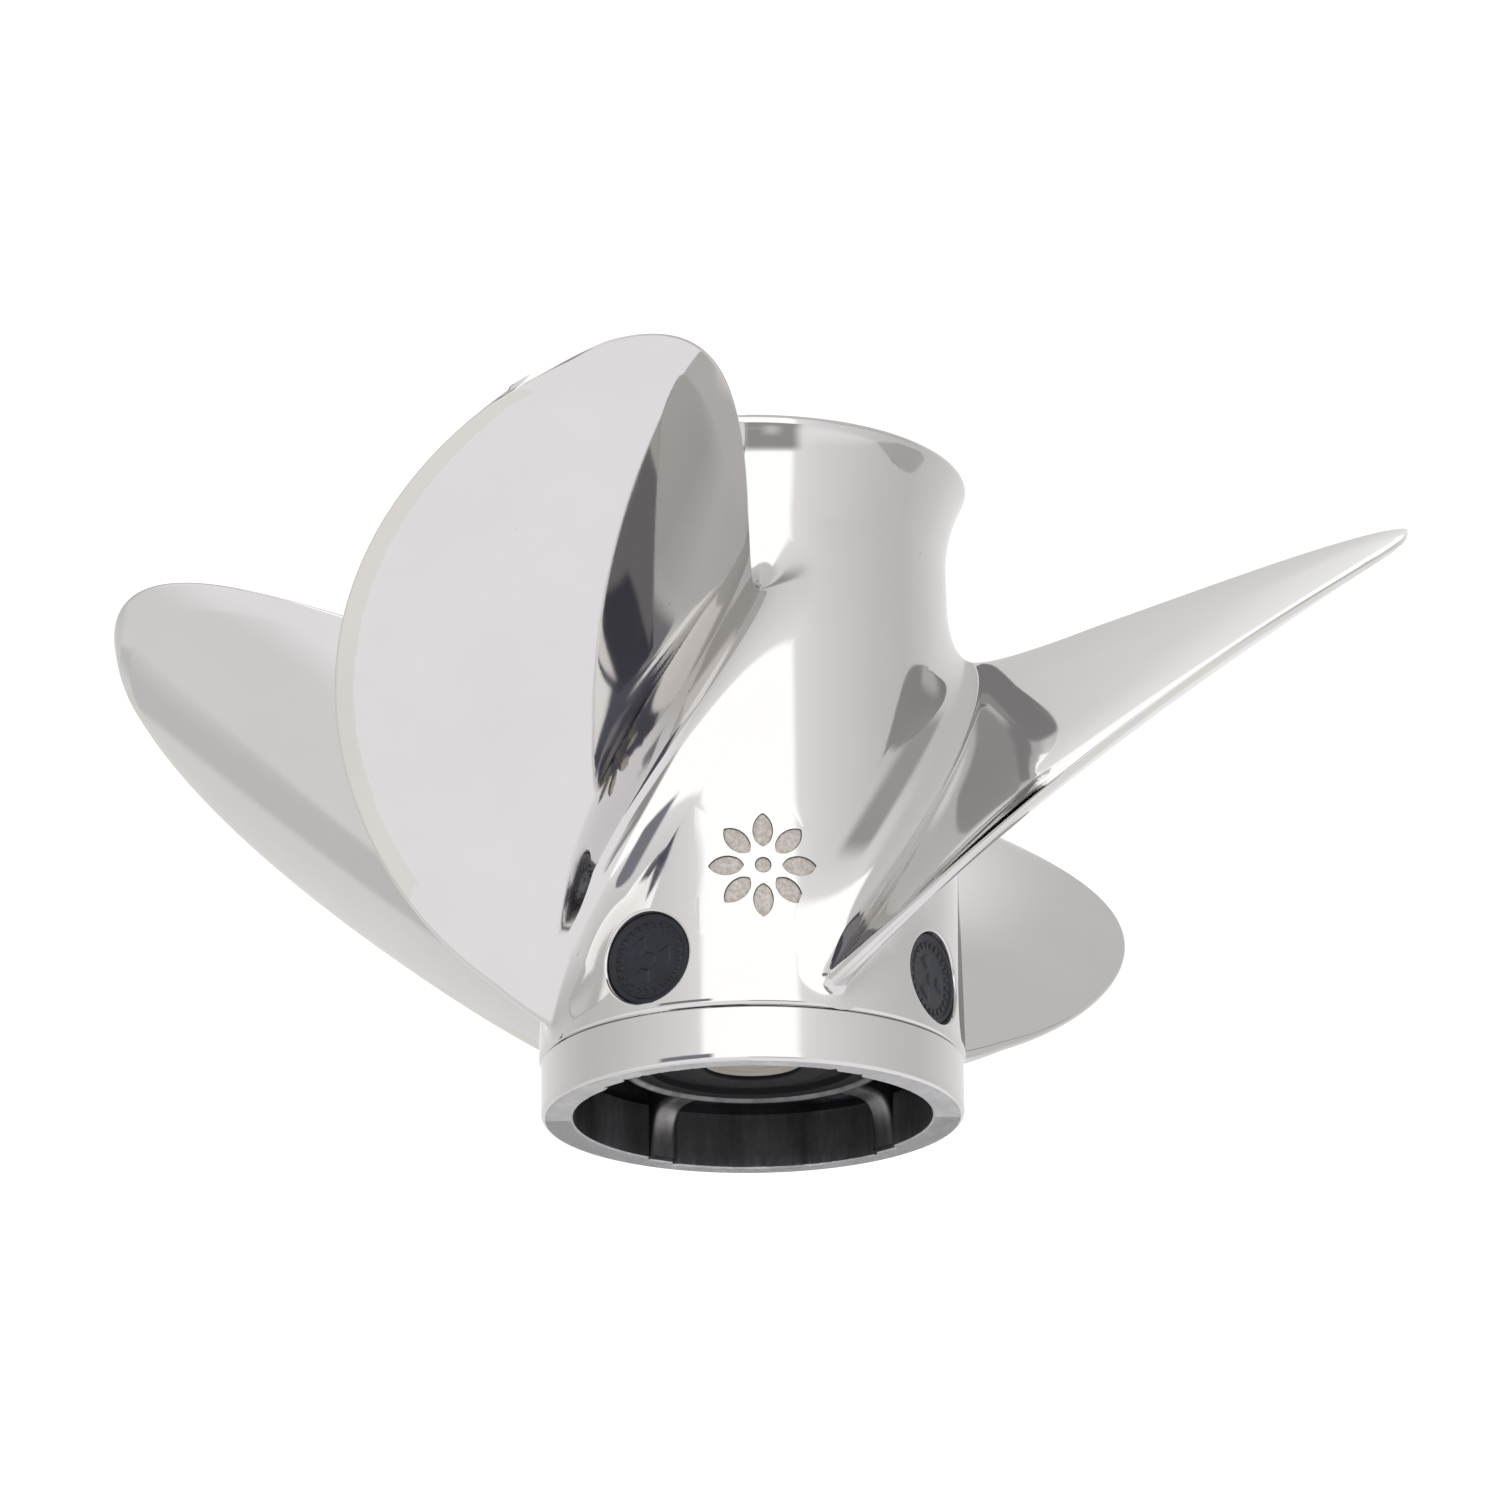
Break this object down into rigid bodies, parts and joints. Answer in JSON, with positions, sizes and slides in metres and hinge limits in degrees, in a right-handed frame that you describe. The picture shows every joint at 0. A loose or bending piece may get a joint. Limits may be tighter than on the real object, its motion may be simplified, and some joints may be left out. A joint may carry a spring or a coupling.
{
  "type": "outboard marine propeller",
  "caption": "Right-hand marine propeller with raked steel blades on a through-hub exhaust barrel with a flared aft end, vent plugs and a cushioned splined drive bore.",
  "frame": {"origin": "centre of the front ring face, on the shaft axis; the part stands on this face", "axes": "+Z along the shaft towards the aft (flared) end, +X and +Y across the barrel; trailing edges of the blade roots lie on +X, +Y, -X and -Y"},
  "size_m": [0.3578, 0.3578, 0.18],
  "materials": {
    "ring_steel": "turned and polished",
    "barrel_steel": "mirror polished stainless steel",
    "blade_steel": "hand polished stainless steel",
    "hub_steel": "as cast, dark",
    "plug_plastic": "moulded, satin",
    "sleeve_composite": "moulded composite",
    "adapter_steel": "machined"
  },
  "bodies": {
    "root": {"front_ring": "ring_steel", "outer_barrel": "barrel_steel", "inner_hub": "hub_steel", "drive_sleeve": "sleeve_composite", "spline_adapter": "adapter_steel", "rib_1": "hub_steel", "blade_1": "blade_steel", "vent_plug_1": "plug_plastic", "rib_2": "hub_steel", "blade_2": "blade_steel", "vent_plug_2": "plug_plastic", "rib_3": "hub_steel", "blade_3": "blade_steel", "vent_plug_3": "plug_plastic", "rib_4": "hub_steel", "blade_4": "blade_steel", "vent_plug_4": "plug_plastic"}
  },
  "joints": []
}
